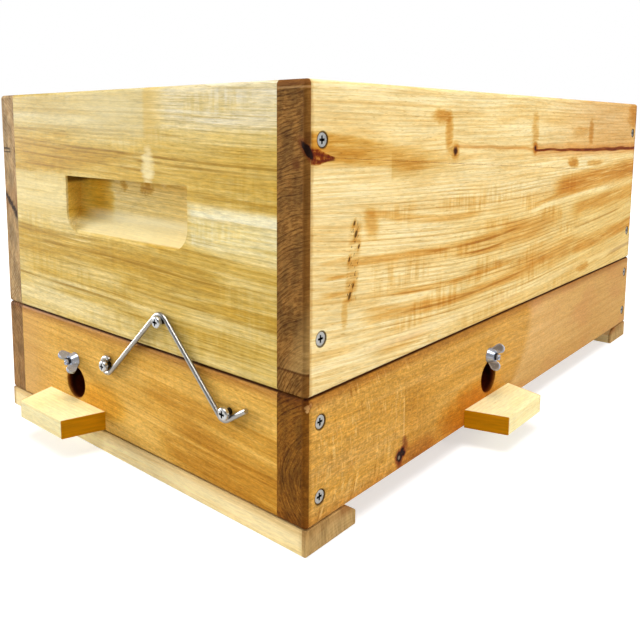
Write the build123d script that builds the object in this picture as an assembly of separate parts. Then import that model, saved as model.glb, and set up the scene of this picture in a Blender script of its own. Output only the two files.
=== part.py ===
from build123d import *
import os
from math import asin, atan2, cos, degrees, hypot, radians, sin

# A two-way mating nucleus box: a base box on runners, an upper box clipped on top of it,
# and a lengthwise divider that parts it into two compartments of three frames each.
# Millimetres, +Z up, +Y towards the back, front entrance on -Y, side entrance on +X.

# Boxes
BOX_LENGTH = 505.0
BOX_WIDTH = 292.0
WALL = 19.0
UPPER_HEIGHT = 152.0
BASE_HEIGHT = 67.0
EASED_EDGE = 2.5

# Runners under the base box
RUNNER_WIDTH = 42.0
RUNNER_HEIGHT = 14.0
RUNNER_BEVEL_DEPTH = 9.0
RUNNER_BEVEL_HEIGHT = 6.0
RUNNER_EDGE = 1.0

# Floor panel and divider
FLOOR_THICKNESS = 9.5
FLOOR_REBATE = 6.0
DIVIDER_THICKNESS = 6.4
DIVIDER_GROOVE = 6.0
PANEL_CLEARANCE = 0.25

# Entrances, landing boards and gates
ENTRANCE_RADIUS = 11.0
ENTRANCE_HEIGHT = 25.5
FRONT_ENTRANCE_INSET = 89.0
SIDE_ENTRANCE_INSET = 195.5
LANDING_DEPTH = 27.0
LANDING_BACK_LENGTH = 67.0
LANDING_FRONT_LENGTH = 51.0
LANDING_THICKNESS = 12.0
FRONT_LANDING_LIFT = 1.8
LANDING_EDGE = 0.5
GATE_RISE = 15.5
GATE_THICKNESS = 1.5
GATE_LAP = 2.5
GATE_EYE_RADIUS = 4.3
GATE_GAP = 0.2
GATE_OPEN_ANGLE = 120.0
BOLT_RADIUS = 2.0
BOLT_STAND_OUT = 7.5
BOLT_HOLE_CLEARANCE = 0.25
BOLT_HEAD_RADIUS = 4.0
BOLT_HEAD_HEIGHT = 2.2
BOLT_NECK = 4.4
NECK_CLEARANCE = 0.1
BOLT_SLOT_WIDTH = 0.8
BOLT_SLOT_DEPTH = 0.8
NUT_RADIUS = 5.2
NUT_NOSE_RADIUS = 3.6
NUT_HEIGHT = 4.8
NUT_CLEARANCE = 0.05
NUT_GAP = 0.1
WING_REACH = 9.4
WING_HEIGHT = 9.3
WING_TIP_RADIUS = 3.2
WING_ROOT_RADIUS = 2.3
WING_THICKNESS = 1.8
FRONT_WING_ANGLE = -37.0
SIDE_WING_ANGLE = 62.0

# Hand-holds in the ends of the upper box
HANDHOLD_WIDTH = 122.0
HANDHOLD_HEIGHT = 37.0
HANDHOLD_DEPTH = 11.0
HANDHOLD_DROP = 54.0
HANDHOLD_CORNER = 14.0
HANDHOLD_RAMP = 11.0
HANDHOLD_CURVE = 8.0

# Countersunk wood screws
SCREW_RADIUS = 2.0
SCREW_HEAD_RADIUS = 3.4
SCREW_HEAD_HEIGHT = 2.2
SCREW_SINK = 0.4
SCREW_CLEARANCE = 0.4
SCREW_POINT = 4.0
SCREW_POINT_RADIUS = 0.4
RECESS_SPAN = 4.0
RECESS_WIDTH = 1.2
RECESS_DEPTH = 1.6
CORNER_SCREW_LENGTH = 38.0
CORNER_SCREW_OFFSET = 1.5
UPPER_SCREW_INSET = 28.0
BASE_SCREW_INSET = 14.0
RUNNER_SCREW_LENGTH = 32.0
RUNNER_SCREW_SPACING = 100.0
LANDING_SCREW_LENGTH = 30.0
LANDING_SCREW_SPACING = 40.0
LANDING_SCREW_HEIGHT = 5.7

# Wire clips and their pan-head screws
CLIP_SPAN = 110.0
CLIP_RISE = 39.0
CLIP_DROP = 20.0
CLIP_PLACE = -17.0
WIRE_RADIUS = 1.45
WIRE_STANDOFF = 0.4
WIRE_GAP = 0.3
EYE_RADIUS = 5.0
EYE_END_ANGLE = 56.0
APEX_RADIUS = 7.0
HOOK_RADIUS = 5.0
LEG_ANGLE = 45.0
TAIL_ANGLE = 33.0
TAIL_LENGTH = 14.5
PAN_HEAD_RADIUS = 3.5
PAN_HEAD_HEIGHT = 2.4
PAN_HEAD_EDGE = 1.1
PAN_SCREW_DEPTH = 13.0

# Frames
REST_WIDTH = 9.5
REST_DEPTH = 16.0
FRAME_FOOT_SPACE = 8.5
FRAME_PITCH = 38.0
LUG_THICKNESS = 9.5
LUG_CLEARANCE = 1.5
BEE_SPACE = 9.5
TOP_BAR_WIDTH = 27.0
TOP_BAR_HEIGHT = 19.0
TOP_BAR_NECK = 22.0
END_BAR_WIDTH = 35.0
END_BAR_FOOT_WIDTH = 28.0
END_BAR_THICKNESS = 9.5
END_BAR_TOP_DROP = 3.0
END_BAR_SHOULDER = 60.0
END_BAR_TAPER = 8.0
BOTTOM_BAR_WIDTH = 19.0
BOTTOM_BAR_HEIGHT = 9.5
FOUNDATION_THICKNESS = 2.0
FOUNDATION_GROOVE = 3.0
FRAME_CLEARANCE = 0.2

# Levels and inside sizes that follow from the sizes above
BASE_BOTTOM = RUNNER_HEIGHT
FLOOR_TOP = BASE_BOTTOM + FLOOR_THICKNESS
JOINT = BASE_BOTTOM + BASE_HEIGHT
RIM = JOINT + UPPER_HEIGHT
INSIDE_LENGTH = BOX_LENGTH - 2 * WALL
INSIDE_WIDTH = BOX_WIDTH - 2 * WALL
ENTRANCE_LEVEL = BASE_BOTTOM + ENTRANCE_HEIGHT
FRONT_ENTRANCE_PLACE = FRONT_ENTRANCE_INSET - BOX_WIDTH / 2
SIDE_ENTRANCE_PLACE = SIDE_ENTRANCE_INSET - BOX_LENGTH / 2
BOLT_LEVEL = ENTRANCE_LEVEL + GATE_RISE
GATE_RADIUS = ENTRANCE_RADIUS + GATE_LAP
CLIP_LEVEL = JOINT - CLIP_DROP
WIRE_LEVEL = WIRE_STANDOFF + WIRE_RADIUS
PAN_UNDERSIDE = WIRE_LEVEL + WIRE_RADIUS + WIRE_GAP
CLIP_REACH = PAN_UNDERSIDE + PAN_HEAD_HEIGHT
REST_LEVEL = RIM - REST_DEPTH
FRAME_TOP = REST_LEVEL + LUG_THICKNESS
FRAME_BOTTOM = JOINT + FRAME_FOOT_SPACE
FRAME_LENGTH = INSIDE_LENGTH - 2 * BEE_SPACE
TOP_BAR_LENGTH = INSIDE_LENGTH + 2 * (REST_WIDTH - LUG_CLEARANCE)
COMPARTMENT = (INSIDE_WIDTH - DIVIDER_THICKNESS) / 2

# The part's origin is under the middle of its outline, landing boards and clips included
BOX_PLACE = Pos(-LANDING_DEPTH / 2, (LANDING_DEPTH - CLIP_REACH) / 2, 0)

# Outer face of each wall: x along the wall to the viewer's right, y the height, z outwards
FRONT = Location(Plane((0, -BOX_LENGTH / 2, 0), x_dir=(1, 0, 0), z_dir=(0, -1, 0)))
BACK = Location(Plane((0, BOX_LENGTH / 2, 0), x_dir=(-1, 0, 0), z_dir=(0, 1, 0)))
RIGHT = Location(Plane((BOX_WIDTH / 2, 0, 0), x_dir=(0, 1, 0), z_dir=(1, 0, 0)))
LEFT = Location(Plane((-BOX_WIDTH / 2, 0, 0), x_dir=(0, -1, 0), z_dir=(-1, 0, 0)))
ON_TOP = (Align.CENTER, Align.CENTER, Align.MIN)
HANGING = (Align.CENTER, Align.CENTER, Align.MAX)


def outline(*points):
    """Flat face through the given points, joined by straight lines."""
    return make_face(Polyline(*points, close=True))


# Fasteners


def cross_recess():
    """Cross-shaped driver recess, cut downwards from z = 0."""
    bar = Box(RECESS_SPAN, RECESS_WIDTH, RECESS_DEPTH, align=HANGING)
    return bar + Rot(0, 0, 90) * bar


def wood_screw(length):
    """Countersunk screw with its head just below z = 0 and its point downwards."""
    neck = -SCREW_SINK - SCREW_HEAD_HEIGHT
    tip = -SCREW_SINK - length
    head = Pos(0, 0, -SCREW_SINK) * Cone(
        SCREW_RADIUS, SCREW_HEAD_RADIUS, SCREW_HEAD_HEIGHT, align=HANGING
    )
    shank = Pos(0, 0, tip + SCREW_POINT) * Cylinder(
        SCREW_RADIUS, neck - tip - SCREW_POINT, align=ON_TOP
    )
    point = Pos(0, 0, tip) * Cone(SCREW_POINT_RADIUS, SCREW_RADIUS, SCREW_POINT, align=ON_TOP)
    return head + shank + point - Pos(0, 0, -SCREW_SINK) * cross_recess()


def screw_hole(length):
    """Countersunk hole for a wood screw whose wood surface is at z = 0."""
    wide = SCREW_HEAD_RADIUS + SCREW_CLEARANCE
    narrow = SCREW_RADIUS + SCREW_CLEARANCE
    mouth = Cylinder(wide, 2 * SCREW_SINK)
    sink = Pos(0, 0, -SCREW_SINK) * Cone(narrow, wide, SCREW_HEAD_HEIGHT, align=HANGING)
    bore = Cylinder(narrow, SCREW_SINK + length + SCREW_CLEARANCE, align=HANGING)
    return mouth + sink + bore


def corner_screw_places(bottom, height, inset):
    """Two screws through each end of both side walls, into the end walls just inside their middle."""
    reach = BOX_LENGTH / 2 - WALL / 2 - CORNER_SCREW_OFFSET
    levels = (bottom + inset, bottom + height - inset)
    return [
        side * Pos(end * reach, level, 0)
        for side in (LEFT, RIGHT)
        for end in (-1, 1)
        for level in levels
    ]


def runner_screw_places():
    """Screws upwards through the runners, into the end walls outside the floor's rebate."""
    reach = BOX_LENGTH / 2 - (WALL - FLOOR_REBATE) / 2
    return [
        Pos(step * RUNNER_SCREW_SPACING, end * reach, 0) * Rot(180, 0, 0)
        for end in (-1, 1)
        for step in (-1, 0, 1)
    ]


def landing_screw_places():
    """Screws outwards from the floor's rebate into each landing board."""
    depth = FLOOR_REBATE - WALL
    level = BASE_BOTTOM + LANDING_SCREW_HEIGHT
    return [
        wall * Pos(place + step * LANDING_SCREW_SPACING / 2, level, depth) * Rot(180, 0, 0)
        for wall, place in ((FRONT, FRONT_ENTRANCE_PLACE), (RIGHT, SIDE_ENTRANCE_PLACE))
        for step in (-1, 1)
    ]


def pan_screw():
    """Pan-head screw standing out of a wall at z = 0, with room for the wire under its head."""
    head = Pos(0, 0, PAN_UNDERSIDE) * Cylinder(PAN_HEAD_RADIUS, PAN_HEAD_HEIGHT, align=ON_TOP)
    head = fillet(head.edges().group_by(Axis.Z)[-1], PAN_HEAD_EDGE)
    shank = Pos(0, 0, -PAN_SCREW_DEPTH + SCREW_POINT) * Cylinder(
        SCREW_RADIUS, PAN_SCREW_DEPTH - SCREW_POINT + PAN_UNDERSIDE, align=ON_TOP
    )
    point = Pos(0, 0, -PAN_SCREW_DEPTH) * Cone(
        SCREW_POINT_RADIUS, SCREW_RADIUS, SCREW_POINT, align=ON_TOP
    )
    return head + shank + point - Pos(0, 0, CLIP_REACH) * cross_recess()


def pan_hole():
    """Pilot hole for a pan-head screw."""
    depth = PAN_SCREW_DEPTH + SCREW_CLEARANCE
    return Cylinder(SCREW_RADIUS + SCREW_CLEARANCE / 2, 2 * depth)


def group(places, piece):
    """One node of separate, like solids."""
    return Compound([place * piece for place in places])


# Walls of the two boxes


def wall_boards(bottom, height):
    """Front, back, left and right boards of a box with eased outer edges, butted at the corners."""
    body = Box(BOX_WIDTH, BOX_LENGTH, height, align=ON_TOP)
    body = Pos(0, 0, bottom) * fillet(body.edges(), EASED_EDGE)
    end = Pos(0, (BOX_LENGTH - WALL) / 2, bottom) * Box(INSIDE_WIDTH, WALL, height, align=ON_TOP)
    side = Pos((BOX_WIDTH - WALL) / 2, 0, bottom) * Box(WALL, BOX_LENGTH, height, align=ON_TOP)
    half_turn = Rot(0, 0, 180)
    return body & (half_turn * end), body & end, body & (half_turn * side), body & side


def handhold():
    """Scoop with a square top edge and a flat back that runs out to the wall's face in a ramp below."""
    face = Rectangle(HANDHOLD_WIDTH, HANDHOLD_HEIGHT, align=(Align.CENTER, Align.MAX))
    face = fillet(face.vertices().group_by(Axis.Y)[0], HANDHOLD_CORNER)
    block = extrude(face, HANDHOLD_DEPTH, both=True)
    profile = outline(
        (0, -HANDHOLD_DEPTH),
        (0, HANDHOLD_DEPTH),
        (-HANDHOLD_HEIGHT - HANDHOLD_RAMP, HANDHOLD_DEPTH),
        (-HANDHOLD_HEIGHT + HANDHOLD_RAMP, -HANDHOLD_DEPTH),
    )
    ramp_foot = profile.vertices().group_by(Axis.Y)[0].sort_by(Axis.X)[0]
    profile = fillet(ramp_foot, HANDHOLD_CURVE)
    hollow = extrude(Plane.YZ * profile, HANDHOLD_WIDTH, both=True)
    return Pos(0, RIM - HANDHOLD_DROP, 0) * (block & hollow)


def divider_groove(bottom, top):
    """Upright groove in the middle of an end wall's inner face."""
    width = DIVIDER_THICKNESS + 2 * PANEL_CLEARANCE
    groove = Box(width, top - bottom, DIVIDER_GROOVE, align=(Align.CENTER, Align.MIN, Align.MIN))
    return Pos(0, bottom, -WALL) * groove


def frame_rest():
    """Rebate along the inner top edge of an end wall, where the frames' lugs lie."""
    rebate = Box(INSIDE_WIDTH, REST_DEPTH, REST_WIDTH, align=(Align.CENTER, Align.MAX, Align.MIN))
    return Pos(0, RIM, -WALL) * rebate


def clip_screw_places(wall):
    """Pivot, catch and apex screws of the clip on one end of the boxes."""
    pivot = wall * Pos(CLIP_PLACE, CLIP_LEVEL, 0)
    return pivot, pivot * Pos(CLIP_SPAN, 0, 0), pivot * Pos(CLIP_SPAN / 2, CLIP_RISE, 0)


def upper_boards():
    """Upper box: hand-holds, frame rests and divider grooves in the ends, screw holes."""
    front, back, left, right = wall_boards(JOINT, UPPER_HEIGHT)
    places = corner_screw_places(JOINT, UPPER_HEIGHT, UPPER_SCREW_INSET)
    holes = group(places, screw_hole(CORNER_SCREW_LENGTH))
    end_cuts = [handhold(), frame_rest(), divider_groove(JOINT, RIM)]
    ends = []
    for board, wall in ((front, FRONT), (back, BACK)):
        apex = clip_screw_places(wall)[2]
        ends.append(board - [wall * cut for cut in end_cuts] - apex * pan_hole() - holes)
    return ends[0], ends[1], left - holes, right - holes


def entrance(place):
    """Entrance hole and the bolt hole above it, through a wall."""
    hole = Pos(place, ENTRANCE_LEVEL, 0) * Cylinder(ENTRANCE_RADIUS, 4 * WALL)
    bolt_hole = Pos(place, BOLT_LEVEL, 0) * Cylinder(BOLT_RADIUS + BOLT_HOLE_CLEARANCE, 4 * WALL)
    return hole + bolt_hole


def floor_panel(clearance=0.0):
    """Floor held in a rebate of all four walls, flush with their bottom edges."""
    width = INSIDE_WIDTH + 2 * (FLOOR_REBATE - PANEL_CLEARANCE + clearance)
    length = INSIDE_LENGTH + 2 * (FLOOR_REBATE - PANEL_CLEARANCE + clearance)
    return Pos(0, 0, BASE_BOTTOM) * Box(width, length, FLOOR_THICKNESS, align=ON_TOP)


def base_boards():
    """Base box: entrances in the front and right walls, floor rebate, divider grooves, screw holes."""
    front, back, left, right = wall_boards(BASE_BOTTOM, BASE_HEIGHT)
    corner_places = corner_screw_places(BASE_BOTTOM, BASE_HEIGHT, BASE_SCREW_INSET)
    cuts = [
        group(corner_places, screw_hole(CORNER_SCREW_LENGTH)),
        group(runner_screw_places(), screw_hole(RUNNER_SCREW_LENGTH)),
        group(landing_screw_places(), screw_hole(LANDING_SCREW_LENGTH)),
        floor_panel(PANEL_CLEARANCE),
    ]
    ends = []
    for board, wall in ((front, FRONT), (back, BACK)):
        pivot, catch, apex = clip_screw_places(wall)
        pilots = [pivot * pan_hole(), catch * pan_hole()]
        groove = wall * divider_groove(FLOOR_TOP, JOINT)
        ends.append(board - cuts - pilots - groove)
    front = ends[0] - FRONT * entrance(FRONT_ENTRANCE_PLACE)
    right = right - cuts - RIGHT * entrance(SIDE_ENTRANCE_PLACE)
    return front, ends[1], left - cuts, right


# Runners and landing boards


def runner():
    """Foot across the back of the box, bevelled along its inner top edge."""
    inner = BOX_LENGTH / 2 - RUNNER_WIDTH
    outer = BOX_LENGTH / 2
    profile = outline(
        (inner, 0),
        (outer, 0),
        (outer, RUNNER_HEIGHT),
        (inner + RUNNER_BEVEL_DEPTH, RUNNER_HEIGHT),
        (inner, RUNNER_HEIGHT - RUNNER_BEVEL_HEIGHT),
    )
    foot = extrude(Plane.YZ * profile, BOX_WIDTH / 2, both=True)
    foot = fillet(foot.edges(), RUNNER_EDGE)
    return foot - group(runner_screw_places(), screw_hole(RUNNER_SCREW_LENGTH))


def landing_board(lift=0.0):
    """Small shelf below an entrance, narrower towards its outer edge, at or just above the wall's foot."""
    back = LANDING_BACK_LENGTH / 2
    front = LANDING_FRONT_LENGTH / 2
    plan = outline((-back, 0), (back, 0), (front, LANDING_DEPTH), (-front, LANDING_DEPTH))
    shelf = extrude(Plane.XZ * plan, -LANDING_THICKNESS)
    shelf = fillet(shelf.edges().group_by(Axis.Z)[-1], LANDING_EDGE)
    return Pos(0, BASE_BOTTOM + lift, 0) * shelf


# Entrance gates


def gate():
    """Tear-drop plate that hangs over the entrance when closed, turned aside here."""
    eye = Circle(GATE_EYE_RADIUS)
    cover = Pos(0, -GATE_RISE) * Circle(GATE_RADIUS)
    plate = extrude(make_hull((eye + cover).edges()), -GATE_THICKNESS)
    side = BOLT_NECK + 2 * NECK_CLEARANCE
    plate = plate - Box(side, side, 4 * GATE_THICKNESS)
    return Pos(0, 0, -WALL - GATE_GAP) * Rot(0, 0, -GATE_OPEN_ANGLE) * plate


def gate_bolt():
    """Domed bolt through gate and wall, square under the head, slotted at its outer end."""
    seat = -WALL - GATE_GAP - GATE_THICKNESS
    head = Pos(0, 0, seat) * Cylinder(BOLT_HEAD_RADIUS, BOLT_HEAD_HEIGHT, align=HANGING)
    head = fillet(head.edges().group_by(Axis.Z)[0], BOLT_HEAD_HEIGHT / 2)
    neck = Box(BOLT_NECK, BOLT_NECK, GATE_THICKNESS, align=ON_TOP)
    neck = Pos(0, 0, seat) * Rot(0, 0, -GATE_OPEN_ANGLE) * neck
    shank = Pos(0, 0, seat) * Cylinder(BOLT_RADIUS, BOLT_STAND_OUT - seat, align=ON_TOP)
    slot = Box(3 * BOLT_RADIUS, BOLT_SLOT_WIDTH, BOLT_SLOT_DEPTH, align=HANGING)
    return head + neck + shank - Pos(0, 0, BOLT_STAND_OUT) * slot


def wing_nut(angle):
    """Pressed wing nut whose two wings rise outwards from a tapered body."""
    body = Cone(NUT_RADIUS, NUT_NOSE_RADIUS, NUT_HEIGHT, align=ON_TOP)
    root = Pos(NUT_NOSE_RADIUS, NUT_HEIGHT / 2) * Circle(WING_ROOT_RADIUS)
    tip = Pos(WING_REACH - WING_TIP_RADIUS, WING_HEIGHT - WING_TIP_RADIUS) * Circle(WING_TIP_RADIUS)
    wing = extrude(Plane.XZ * make_hull((root + tip).edges()), WING_THICKNESS / 2, both=True)
    nut = body + wing + Rot(0, 0, 180) * wing
    nut = nut - Cylinder(BOLT_RADIUS + NUT_CLEARANCE, 4 * WING_HEIGHT)
    return Pos(0, 0, NUT_GAP) * Rot(0, 0, angle) * nut


# Wire clips


def crossing(first, first_angle, second, second_angle):
    """Point where two lines meet, each given by a point and its direction in degrees."""
    ax, ay = cos(radians(first_angle)), sin(radians(first_angle))
    bx, by = cos(radians(second_angle)), sin(radians(second_angle))
    dx, dy = second[0] - first[0], second[1] - first[1]
    reach = (dx * by - dy * bx) / (ax * by - ay * bx)
    return first[0] + reach * ax, first[1] + reach * ay


def clip_wire():
    """Spring wire with an eye round the pivot screw, over the apex screw, hooked under the catch screw."""
    seat = SCREW_RADIUS + WIRE_RADIUS + WIRE_GAP
    peak = CLIP_RISE + seat + APEX_RADIUS * (1 / cos(radians(LEG_ANGLE)) - 1)
    apex = (CLIP_SPAN / 2, peak)
    tail_x, tail_y = cos(radians(TAIL_ANGLE)), sin(radians(TAIL_ANGLE))
    under = (CLIP_SPAN + seat * tail_y, -seat * tail_x)
    hook = crossing(apex, -LEG_ANGLE, under, TAIL_ANGLE)
    end = (under[0] + TAIL_LENGTH * tail_x, under[1] + TAIL_LENGTH * tail_y)
    leg = degrees(atan2(apex[1], apex[0]) + asin(EYE_RADIUS / hypot(*apex)))
    eye_stop = leg + 270
    start = (EYE_RADIUS * cos(radians(eye_stop)), EYE_RADIUS * sin(radians(eye_stop)))
    eye = CenterArc((0, 0), EYE_RADIUS, EYE_END_ANGLE, eye_stop - EYE_END_ANGLE)
    legs = FilletPolyline(start, apex, hook, end, radius=[APEX_RADIUS, HOOK_RADIUS])
    path = Wire(eye.edges() + legs.edges())
    section = Plane(path @ 0, z_dir=path % 0) * Circle(WIRE_RADIUS)
    return Pos(0, 0, WIRE_LEVEL) * sweep(section, path=path)


# Divider and frames


def base_divider():
    """Strip that stands on the floor between the two compartments."""
    length = INSIDE_LENGTH + 2 * (DIVIDER_GROOVE - PANEL_CLEARANCE)
    return Pos(0, 0, FLOOR_TOP) * Box(DIVIDER_THICKNESS, length, JOINT - FLOOR_TOP, align=ON_TOP)


def divider_board():
    """Lift-out board in the grooves of the upper box, level with its rim."""
    length = INSIDE_LENGTH + 2 * (DIVIDER_GROOVE - PANEL_CLEARANCE)
    return Pos(0, 0, JOINT) * Box(DIVIDER_THICKNESS, length, UPPER_HEIGHT, align=ON_TOP)


def top_bar():
    """Bar with a thin lug at each end, necked where the end bars grip it, grooved underneath."""
    bar = Pos(0, 0, FRAME_TOP) * Box(TOP_BAR_WIDTH, TOP_BAR_LENGTH, TOP_BAR_HEIGHT, align=HANGING)
    under = Box(
        2 * TOP_BAR_WIDTH,
        TOP_BAR_LENGTH,
        TOP_BAR_HEIGHT,
        align=(Align.CENTER, Align.MIN, Align.MAX),
    )
    neck = Box(TOP_BAR_WIDTH, END_BAR_THICKNESS + FRAME_CLEARANCE, 3 * TOP_BAR_HEIGHT)
    neck_reach = (FRAME_LENGTH - END_BAR_THICKNESS) / 2
    neck_side = (TOP_BAR_NECK + TOP_BAR_WIDTH) / 2
    for end in (0, 180):
        bar = bar - Rot(0, 0, end) * Pos(0, FRAME_LENGTH / 2, REST_LEVEL) * under
        for side in (-1, 1):
            bar = bar - Rot(0, 0, end) * Pos(side * neck_side, neck_reach, FRAME_TOP) * neck
    groove = Box(
        FOUNDATION_THICKNESS + 2 * FRAME_CLEARANCE,
        FRAME_LENGTH - 2 * END_BAR_THICKNESS,
        FOUNDATION_GROOVE,
        align=ON_TOP,
    )
    return bar - Pos(0, 0, FRAME_TOP - TOP_BAR_HEIGHT) * groove


def end_bar():
    """Rear end bar: wide shoulders, narrower foot, notched for the top bar and the bottom bar."""
    top = FRAME_TOP - END_BAR_TOP_DROP
    seat = FRAME_TOP - TOP_BAR_HEIGHT
    shoulder = top - END_BAR_SHOULDER
    taper_end = shoulder - END_BAR_TAPER
    wide = END_BAR_WIDTH / 2
    foot = END_BAR_FOOT_WIDTH / 2
    jaw = TOP_BAR_NECK / 2 + FRAME_CLEARANCE
    slot = BOTTOM_BAR_WIDTH / 2 + FRAME_CLEARANCE
    ledge = FRAME_BOTTOM + BOTTOM_BAR_HEIGHT
    half = [
        (0, ledge),
        (slot, ledge),
        (slot, FRAME_BOTTOM),
        (foot, FRAME_BOTTOM),
        (foot, taper_end),
        (wide, shoulder),
        (wide, top),
        (jaw, top),
        (jaw, seat),
        (0, seat),
    ]
    profile = outline(*half)
    bar = extrude(Plane.XZ * (profile + mirror(profile, about=Plane.YZ)), -END_BAR_THICKNESS)
    return Pos(0, FRAME_LENGTH / 2 - END_BAR_THICKNESS, 0) * bar


def bottom_bar():
    """Plain bar let into the feet of both end bars."""
    bar = Box(BOTTOM_BAR_WIDTH, FRAME_LENGTH, BOTTOM_BAR_HEIGHT, align=ON_TOP)
    return Pos(0, 0, FRAME_BOTTOM) * bar


def foundation():
    """Wax sheet from the bottom bar up into the top bar's groove."""
    foot = FRAME_BOTTOM + BOTTOM_BAR_HEIGHT
    head = FRAME_TOP - TOP_BAR_HEIGHT + FOUNDATION_GROOVE - FRAME_CLEARANCE
    length = FRAME_LENGTH - 2 * END_BAR_THICKNESS - 2 * FRAME_CLEARANCE
    return Pos(0, 0, foot) * Box(FOUNDATION_THICKNESS, length, head - foot, align=ON_TOP)


def frame_places():
    """Name and place of each frame: as many as fit each compartment, evenly about its middle."""
    count = int(COMPARTMENT // FRAME_PITCH)
    middle = (DIVIDER_THICKNESS + COMPARTMENT) / 2
    return {
        f"{side}_frame_{index + 1}": sign * middle + (index - (count - 1) / 2) * FRAME_PITCH
        for side, sign in (("left", -1), ("right", 1))
        for index in range(count)
    }


# Assembly


def assembly():
    """Every node of the part by name, about the middle of the boxes."""
    nodes = {}
    names = ("front", "back", "left", "right")
    for name, board in zip(names, base_boards()):
        nodes[f"base_{name}"] = board
    for name, board in zip(names, upper_boards()):
        nodes[f"upper_{name}"] = board

    nodes["rear_runner"] = runner()
    nodes["front_runner"] = Rot(0, 0, 180) * runner()
    nodes["floor_panel"] = floor_panel()
    nodes["base_divider"] = base_divider()
    nodes["divider_board"] = divider_board()

    base_places = corner_screw_places(BASE_BOTTOM, BASE_HEIGHT, BASE_SCREW_INSET)
    upper_places = corner_screw_places(JOINT, UPPER_HEIGHT, UPPER_SCREW_INSET)
    nodes["base_corner_screws"] = group(base_places, wood_screw(CORNER_SCREW_LENGTH))
    nodes["upper_corner_screws"] = group(upper_places, wood_screw(CORNER_SCREW_LENGTH))
    nodes["runner_screws"] = group(runner_screw_places(), wood_screw(RUNNER_SCREW_LENGTH))
    nodes["landing_screws"] = group(landing_screw_places(), wood_screw(LANDING_SCREW_LENGTH))

    landing_holes = group(landing_screw_places(), screw_hole(LANDING_SCREW_LENGTH))
    entrances = (
        ("front", FRONT, FRONT_ENTRANCE_PLACE, FRONT_WING_ANGLE, landing_board(FRONT_LANDING_LIFT)),
        ("side", RIGHT, SIDE_ENTRANCE_PLACE, SIDE_WING_ANGLE, landing_board()),
    )
    for name, wall, place, wing_angle, shelf in entrances:
        nodes[f"{name}_landing_board"] = wall * Pos(place, 0, 0) * shelf - landing_holes
        pivot = wall * Pos(place, BOLT_LEVEL, 0)
        nodes[f"{name}_gate"] = pivot * gate()
        nodes[f"{name}_gate_bolt"] = pivot * gate_bolt()
        nodes[f"{name}_wing_nut"] = pivot * wing_nut(wing_angle)

    lower_places, upper_clip_places = [], []
    for name, wall in (("front", FRONT), ("rear", BACK)):
        pivot, catch, apex = clip_screw_places(wall)
        lower_places += [pivot, catch]
        upper_clip_places.append(apex)
        nodes[f"{name}_clip_wire"] = pivot * clip_wire()
    nodes["lower_clip_screws"] = group(lower_places, pan_screw())
    nodes["upper_clip_screws"] = group(upper_clip_places, pan_screw())

    pieces = {
        "top_bar": top_bar(),
        "front_end_bar": Rot(0, 0, 180) * end_bar(),
        "rear_end_bar": end_bar(),
        "bottom_bar": bottom_bar(),
        "foundation": foundation(),
    }
    for frame_name, place in frame_places().items():
        for piece_name, piece in pieces.items():
            nodes[f"{frame_name}_{piece_name}"] = Pos(place, 0, 0) * piece
    return nodes


os.makedirs("parts", exist_ok=True)
for node, shape in assembly().items():
    export_step(BOX_PLACE * shape, f"parts/{node}.step")
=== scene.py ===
import math

import bpy
import numpy as np
from mathutils import Matrix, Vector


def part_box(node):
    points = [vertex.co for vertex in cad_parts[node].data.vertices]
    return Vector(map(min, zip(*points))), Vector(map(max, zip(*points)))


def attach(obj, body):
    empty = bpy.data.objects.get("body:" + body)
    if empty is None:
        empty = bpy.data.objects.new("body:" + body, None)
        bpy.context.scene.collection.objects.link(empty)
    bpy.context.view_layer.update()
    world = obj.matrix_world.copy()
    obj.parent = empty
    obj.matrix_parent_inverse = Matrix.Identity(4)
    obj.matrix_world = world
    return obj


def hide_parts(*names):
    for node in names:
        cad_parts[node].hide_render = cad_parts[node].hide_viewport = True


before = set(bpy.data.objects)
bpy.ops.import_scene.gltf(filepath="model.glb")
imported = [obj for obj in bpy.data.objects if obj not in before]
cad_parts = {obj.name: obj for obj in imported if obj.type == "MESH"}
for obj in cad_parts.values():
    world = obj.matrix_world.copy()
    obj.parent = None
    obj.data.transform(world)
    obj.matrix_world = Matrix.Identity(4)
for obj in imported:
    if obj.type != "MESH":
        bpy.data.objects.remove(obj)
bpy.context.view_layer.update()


# Viewpoint: off the box's near right corner at about the height of its rim, looking a little down.
# The lens is for a 36 mm wide sensor; the shift keeps the box's upright edges nearly parallel.
scene = bpy.context.scene
camera = bpy.data.objects.new("camera", bpy.data.cameras.new("camera"))
camera.data.lens = 39.421
camera.data.shift_x, camera.data.shift_y = 0.0547, -0.1688
camera.data.clip_start = 0.01
right = (0.745091, 0.666962, 0.001265)
up = (-0.082148, 0.089889, 0.992558)
back = (0.661885, -0.739650, 0.121765)
eye = (0.338950, -0.488063, 0.211368)
camera.matrix_world = Matrix((*zip(right, up, back, eye), (0, 0, 0, 1)))
scene.collection.objects.link(camera)
scene.camera = camera


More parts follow.
